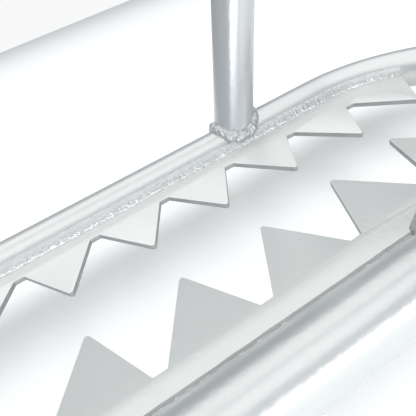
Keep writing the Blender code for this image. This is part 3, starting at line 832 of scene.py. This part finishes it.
def hingeHardware(sideName):
    outward, spot = (0, sides[sideName], 0), (hinge["x"], 0, hinge["z"])
    boltLow, boltHigh = sideReach("hinge_bolt", sideName)
    face = sideReach("lower_hinge_plate_outer", sideName)[1]
    seat = face + washerLook["deep"]
    shank, corner, crown = boltLook["radius"], boltLook["corner"], boltLook["crown"]
    head = lathe([(0, seat), (corner - boltLook["headRim"], seat),
                  (corner, face + boltLook["headFoot"])]
                 + [(corner - inset, boltHigh - drop) for inset, drop in crown]
                 + [(0, boltHigh - crown[-1][1])], spot, outward, 6)
    finishPiece(head, "hingeBoltHead_" + sideName, zincPlated, "lower_section",
                ["hinge_bolt_" + sideName])
    stem = lathe([(0, boltLow), (shank - boltLook["tipRim"], boltLow)]
                 + threadRings(shank, boltLow + boltLook["threadFrom"], boltLook["thread"])
                 + [(shank, seat), (0, seat)], spot, outward, 40)
    finishPiece(stem, "hingeBoltStem_" + sideName, zincPlated, "lower_section")
    wide, rim = washerLook["wide"], washerLook["rim"]
    washer = lathe([(shank, face), (wide - rim, face), (wide, face + rim), (wide, seat - rim),
                    (wide - rim, seat), (shank, seat), (shank, face)], spot, outward, 48)
    finishPiece(washer, "hingeWasher_" + sideName, zincPlated, "lower_section")
    nutLow, nutHigh = sideReach("hinge_nut", sideName)
    nut = hexNut(nutHigh, nutLow, hingeNutLook, spot, outward)
    finishPiece(nut, "hingeNut_" + sideName, zincPlated, "lower_section",
                ["hinge_nut_" + sideName])
    bore, wide, rim = spacerLook["bore"], spacerLook["wide"], spacerLook["rim"]
    for place in ("inner", "outer"):
        low, high = sideReach("hinge_spacer_" + place, sideName)
        spacer = lathe([(bore, low), (wide - rim, low), (wide, low + rim), (wide, high - rim),
                        (wide - rim, high), (bore, high), (bore, low)], spot, outward, 40)
        finishPiece(spacer, f"hingeSpacer_{place}_{sideName}", zincPlated, "lower_section",
                    [f"hinge_spacer_{place}_{sideName}"])


for sideName in sides:
    hingePlates(sideName)
    hingeWelds(sideName)
    hingeHardware(sideName)
print("hinge done")


# lock bolts

lockLook = {"barrel": 0.008, "wall": 0.0057, "lip": 0.0026, "footBand": 0.004, "capBand": 0.0044,
            "waist": 0.0008, "mouth": 0.0005, "weldOut": 0.0003, "weldThick": 0.0017,
            "weldLumps": (0.0007, 0.003)}
rodLook = {"radius": 0.004, "room": 0.0002, "travel": 0.0085, "collarFrom": 0.0028,
           "nose": ((0.0023, 0), (0.0034, 0.0007), (0.004, 0.0015)), "collar": (0.0053, 0.002),
           "tailFrom": 0.0005, "tailRim": 0.0004, "stem": 0.003}
knobLook = {"wide": 0.010, "round": 0.0035, "roundSteps": 6,
            "waist": ((0.0068, 0), (0.0074, 0.0015), (0.0089, 0.0032), (0.010, 0.0052)),
            "dish": ((0.0045, 0), (0.003, 0.0006), (0, 0.0009)),
            "flutes": 12, "fluteDeep": 0.05, "fluteOutside": 0.0085}


def lockSpot():
    return hinge["x"] + tubeLook["lockX"], 0, frameFacts("upper")["z"]


def lockBarrel(sideName):
    outward, spot = (0, sides[sideName], 0), lockSpot()
    base, cap = sideReach("lock_barrel", sideName)
    wide, wall, lip, waist = [lockLook[key] for key in ("barrel", "wall", "lip", "waist")]
    foot, top, mouth = base + lockLook["footBand"], cap - lockLook["capBand"], lockLook["mouth"]
    hole = rodLook["radius"] + rodLook["room"]
    barrel = lathe([(hole, base), (wide, base), (wide, foot), (wide - waist, foot + waist),
                    (wide - waist, top - waist), (wide, top), (wide, cap - waist),
                    (wide - waist, cap), (hole + mouth, cap), (hole, cap - mouth), (hole, cap - lip),
                    (wall, cap - lip), (wall, base + lip), (hole, base + lip), (hole, base)],
                   spot, outward, 48)
    finishPiece(barrel, "lockBarrel_" + sideName, silverTube, "lower_section",
                ["lock_barrel_" + sideName])
    clearSelection()
    bpy.ops.mesh.primitive_torus_add(major_radius=wide + lockLook["weldOut"],
                                     minor_radius=lockLook["weldThick"],
                                     major_segments=72, minor_segments=10,
                                     location=(spot[0], outward[1] * base, spot[2]),
                                     rotation=(math.pi / 2, 0, 0))
    bead = placeNew()
    toObject()
    lumpy(bead, *lockLook["weldLumps"])
    finishPiece(bead, "lockBarrelWeld_" + sideName, weldSilver, "lower_section",
                smooth=60)


def lockRod(sideName):
    base, cap = sideReach("lock_barrel", sideName)
    tip, end = sideReach("lock_bolt", sideName)
    bolt, rim, stem = rodLook["radius"], rodLook["tailRim"], rodLook["stem"]
    collarWide, collarDeep = rodLook["collar"]
    tail = cap + rodLook["tailFrom"] + rodLook["travel"]
    collar = base + rodLook["collarFrom"] + rodLook["travel"]
    rod = lathe([(0, tip)] + [(radius, tip + along) for radius, along in rodLook["nose"]]
                + [(bolt, collar), (collarWide, collar), (collarWide, collar + collarDeep),
                   (bolt, collar + collarDeep), (bolt, tail - rim), (bolt - rim, tail),
                   (stem, tail), (stem, end), (0, end)], lockSpot(), (0, sides[sideName], 0), 40)
    finishPiece(rod, "lockRod_" + sideName, zincPlated, "lock_" + sideName,
                ["lock_bolt_" + sideName])


def lockKnob(sideName):
    low, high = sideReach("lock_knob", sideName)
    x, _, z = lockSpot()
    wide, curve, steps = knobLook["wide"], knobLook["round"], knobLook["roundSteps"]
    waist = [(radius, low + along) for radius, along in knobLook["waist"]]
    rounded = [(wide - curve * (1 - math.sin(a)), high - curve * (1 - math.cos(a)))
               for a in [math.pi / 2 * k / steps for k in range(steps, -1, -1)]]
    dish = [(radius, high - down) for radius, down in knobLook["dish"]]
    knob = lathe([(0, low)] + waist + rounded + dish, (x, 0, z), (0, sides[sideName], 0), 48)
    # grip flutes
    for point in knob.data.vertices:
        across, up = point.co.x - x, point.co.z - z
        if math.hypot(across, up) > knobLook["fluteOutside"]:
            flute = 0.5 + 0.5 * math.cos(knobLook["flutes"] * math.atan2(up, across))
            pinch = 1 - knobLook["fluteDeep"] * flute
            point.co.x, point.co.z = x + across * pinch, z + up * pinch
    finishPiece(knob, "lockKnob_" + sideName, knobPlastic, "lock_" + sideName,
                ["lock_knob_" + sideName], smooth=50)


for sideName in sides:
    lockBarrel(sideName)
    lockRod(sideName)
    lockKnob(sideName)
print("locks done")


# top lip

lipLook = {"knuckle": 0.008, "bore": 0.0053, "plate": 0.004, "corner": 0.012, "rim": 0.0007,
           "plateFrom": 0.016, "tongueIn": 0.004, "sideRoom": 0.0003, "frontWithin": 0.001}
studLook = {"rows": 4, "columns": 9, "size": (0.0048, 0.0017, 0.0010), "from": 0.012,
            "rowPitch": 0.0140, "columnPitch": 0.0155, "turn": math.pi / 4}
padLook = {"lands": 7, "landShare": 0.8, "grooveDeep": 0.0014, "rim": 0.0006}
lugLook = {"knuckle": 0.010, "rootBack": 0.034, "rootDrop": 0.002, "rootRound": 0.013, "rim": 0.0009,
           "beadIn": 0.0005, "beadDown": 0.014, "beadUp": 0.011, "bead": 0.0022}
pinLook = {"radius": 0.005, "head": ((0, 0), (0.0060, 0), (0.0074, 0.0008), (0.008, 0.0018)),
           "headOut": 0.0063, "shankEnd": 0.0015, "threadFrom": 0.001, "tip": 0.0040,
           "thread": {"deep": 0.0004, "pitch": 0.0005, "rings": 10}}
lipNutLook = {"bore": 0.0051, "mouth": 0.0005, "wide": 0.0085, "corner": 0.0010, "drop": 0.0008}


def lipFacts():
    pinLow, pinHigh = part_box("lip_pin")
    low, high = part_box("lip_plate")
    x, z = (pinLow.x + pinHigh.x) / 2, (pinLow.z + pinHigh.z) / 2
    return {"x": x, "z": z, "low": low, "high": high, "startX": x + lipLook["plateFrom"],
            "lugInner": min(abs(p.y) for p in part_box("lip_lug_left"))}


def flatSlab(fromX, toX, wide, baseZ):
    clearSelection()
    thick = lipLook["plate"]
    bpy.ops.mesh.primitive_cube_add(size=1, scale=(toX - fromX, wide, thick),
                                    location=((fromX + toX) / 2, 0, baseZ + thick / 2))
    return placeNew()


def lipPlate(lip):
    x, z, low, high = lip["x"], lip["z"], lip["low"], lip["high"]
    knuckleHalf = lip["lugInner"] - lipLook["sideRoom"]
    plate = flatSlab(lip["startX"], high.x, high.y - low.y, low.z)
    pickEdges(plate, lambda a, b: abs(a.z - b.z) > lipLook["plate"] / 2
              and a.x > high.x - lipLook["frontWithin"])
    bpy.ops.mesh.bevel(offset=lipLook["corner"], segments=8, affect="EDGES")
    toObject()
    tongue = flatSlab(x, lip["startX"] + lipLook["tongueIn"], 2 * knuckleHalf, low.z)
    toObject()
    cutWith(plate, tongue, "UNION")
    roundRims(plate, lipLook["rim"])
    cutWith(plate, roundBar((x, -knuckleHalf, z), (x, knuckleHalf, z), lipLook["knuckle"],
                            meshCare["roundCorners"]), "UNION")
    cutWith(plate, roundBar((x, -high.y, z), (x, high.y, z), lipLook["bore"], 48))
    finishPiece(plate, "lipPlate", silverPlate, "lip", ["lip_plate"])


def lipStuds(lip):
    # raised tread studs, turned one way and the other by turns
    clearSelection()
    bpy.ops.mesh.primitive_uv_sphere_add(segments=16, ring_count=10, radius=1, scale=studLook["size"])
    stud = placeNew()
    toObject()
    surface = lip["low"].z + lipLook["plate"]
    copies = []
    for row in range(studLook["rows"]):
        for column in range(studLook["columns"]):
            spotX = lip["startX"] + studLook["from"] + row * studLook["rowPitch"]
            spotY = (column - (studLook["columns"] - 1) / 2) * studLook["columnPitch"]
            angle = studLook["turn"] if (row + column) % 2 else -studLook["turn"]
            placing = Matrix.Translation((spotX, spotY, surface)) @ Matrix.Rotation(angle, 4, "Z")
            copies.append(copyPiece(stud, "stud", placing))
    bpy.data.objects.remove(stud)
    clearSelection()
    for copied in copies:
        copied.select_set(True)
    bpy.context.view_layer.objects.active = copies[0]
    bpy.ops.object.join()
    finishPiece(copies[0], "lipStuds", silverPlate, "lip", smooth=60)


def lipPad():
    low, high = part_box("lip_pad")
    clearSelection()
    bpy.ops.mesh.primitive_cube_add(size=1, location=(low + high) / 2, scale=high - low)
    pad = placeNew()
    step = (high.y - low.y) / padLook["lands"]
    bands = [(low.y + step * (k + padLook["landShare"]), low.y + step * (k + 1))
             for k in range(padLook["lands"] - 1)]
    for y in [edge for band in bands for edge in band]:
        bpy.ops.mesh.select_all(action="SELECT")
        bpy.ops.mesh.bisect(plane_co=(0, y, 0), plane_no=(0, 1, 0))
    pickFaces(pad, lambda c, n: n.z < -0.5 and any(a < c.y < b for a, b in bands))
    bpy.ops.mesh.extrude_region_move(TRANSFORM_OT_translate={"value": (0, 0, padLook["grooveDeep"])})
    toObject()
    roundRims(pad, padLook["rim"])
    finishPiece(pad, "lipPad", blackRubber, "lip", ["lip_pad"])


def lipLugs(lip):
    facts = frameFacts("upper")
    x, z = lip["x"], lip["z"]
    root = (x - lugLook["rootBack"], facts["z"] - lugLook["rootDrop"], lugLook["rootRound"])
    for sideName in sides:
        low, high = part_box("lip_lug_" + sideName)
        lug = hullPlate([(x, z, lugLook["knuckle"]), root], low.y, high.y,
                        [(x, z, lipLook["bore"])], lugLook["rim"])
        finishPiece(lug, "lipLug_" + sideName, silverPlate, "upper_section",
                    ["lip_lug_" + sideName])
        for label, y in (("in", low.y), ("out", high.y)):
            # the weld runs up the front of the hoop
            beadX = facts["hoopX"] + math.sqrt((facts["track"] + facts["radius"]) ** 2 - y ** 2)
            beadX -= lugLook["beadIn"]
            bead = stitchBead((beadX, y, facts["z"] - lugLook["beadDown"]),
                              (beadX, y, facts["z"] + lugLook["beadUp"]), lugLook["bead"])
            finishPiece(bead, f"lipLugBead_{sideName}_{label}", weldSilver, "upper_section",
                        smooth=60)


def lipHardware(lip):
    start, end = sorted(p.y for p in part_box("lip_pin"))
    nutLow, nutHigh = (p.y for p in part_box("lip_nut"))
    place, headFace = (lip["x"], 0, lip["z"]), -lip["lugInner"] - pinLook["headOut"]
    shank, headWide = pinLook["radius"], pinLook["head"][-1][0]
    pin = lathe([(radius, start + along) for radius, along in pinLook["head"]]
                + [(headWide, headFace), (shank, headFace), (shank, nutHigh - pinLook["shankEnd"])]
                + threadRings(shank, nutHigh - pinLook["threadFrom"], pinLook["thread"])
                + [(pinLook["tip"], end), (0, end)], place, (0, 1, 0), 40)
    finishPiece(pin, "lipPin", zincPlated, "upper_section", ["lip_pin"])
    nut = hexNut(nutLow, nutHigh, lipNutLook, place, (0, 1, 0))
    finishPiece(nut, "lipNut", zincPlated, "upper_section", ["lip_nut"])


lipPlaces = lipFacts()
lipPlate(lipPlaces)
lipStuds(lipPlaces)
lipPad()
lipLugs(lipPlaces)
lipHardware(lipPlaces)
print("lip done")


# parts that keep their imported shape

keptFinishes = {"foot_screw": zincPlated}
for name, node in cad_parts.items():
    for key, finish in keptFinishes.items():
        if key in name:
            for slotIndex in range(len(node.data.materials)):
                node.data.materials[slotIndex] = finish


# floor, light and camera

studio = {"floor": 12.0, "floorGlow": 0.22, "floorRough": 0.9, "floorColour": (0.94, 0.945, 0.945),
          "world": (0.80, 0.87, 0.95), "worldPower": 0.36,
          "key": {"place": (0.0, 0.3, 3.2), "size": (7.0, 6.0), "power": 155,
                  "colour": (1.0, 0.998, 0.985)},
          "strip": {"place": (0.6, -2.2, 0.62), "size": (4.0, 0.30), "power": 42,
                    "colour": (0.97, 0.985, 1.0)}}
cameraLook = {"place": (0.5769, -0.2117, 0.2031), "aim": (0.6455, 0.0339, 0.0451), "roll": -21.55,
              "lens": 33.31, "nearest": 0.01}


def areaLight(name, setting):
    bpy.ops.object.light_add(type="AREA", location=setting["place"])
    light = bpy.context.object
    light.name = name
    light.data.shape = "RECTANGLE"
    light.data.size, light.data.size_y = setting["size"]
    light.data.energy = setting["power"]
    light.data.color = setting["colour"]
    aim = Vector((setting["place"][0], 0, 0)) - Vector(setting["place"])
    light.rotation_euler = aim.to_track_quat("-Z", "Y").to_euler()


clearSelection()
bpy.ops.mesh.primitive_plane_add(size=studio["floor"], location=(0, 0, 0))
floor = bpy.context.object
floor.name = "studioFloor"
paper = bpy.data.materials.new("palePaper")
paper.use_nodes = True
paperShader = paper.node_tree.nodes["Principled BSDF"]
paperShader.inputs["Base Color"].default_value = (*studio["floorColour"], 1)
paperShader.inputs["Roughness"].default_value = studio["floorRough"]
paperShader.inputs["Emission Color"].default_value = (*studio["floorColour"], 1)
paperShader.inputs["Emission Strength"].default_value = studio["floorGlow"]
floor.data.materials.append(paper)
areaLight("keyLight", studio["key"])
areaLight("stripLight", studio["strip"])
world = bpy.data.worlds.new("studioAir")
world.use_nodes = True
air = world.node_tree.nodes["Background"]
air.inputs["Color"].default_value = (*studio["world"], 1)
air.inputs["Strength"].default_value = studio["worldPower"]
# what is seen past the floor is as pale as the floor
beyond = addNode(world.node_tree, "Background")
beyond.inputs["Color"].default_value = (*studio["floorColour"], 1)
seen = addNode(world.node_tree, "LightPath")
either = addNode(world.node_tree, "MixShader")
airLinks = world.node_tree.links
airLinks.new(seen.outputs["Is Camera Ray"], either.inputs[0])
airLinks.new(air.outputs[0], either.inputs[1])
airLinks.new(beyond.outputs[0], either.inputs[2])
airLinks.new(either.outputs[0], world.node_tree.nodes["World Output"].inputs["Surface"])
bpy.context.scene.world = world
bpy.context.scene.view_settings.view_transform = "Standard"

bpy.ops.object.camera_add(location=cameraLook["place"])
camera = bpy.context.object
camera.data.lens = cameraLook["lens"]
camera.data.clip_start = cameraLook["nearest"]
aim = Vector(cameraLook["aim"]) - Vector(cameraLook["place"])
roll = Matrix.Rotation(math.radians(cameraLook["roll"]), 3, "Z")
turn = aim.to_track_quat("-Z", "Y").to_matrix() @ roll
camera.rotation_euler = turn.to_euler()
bpy.context.scene.camera = camera
print("studio set")
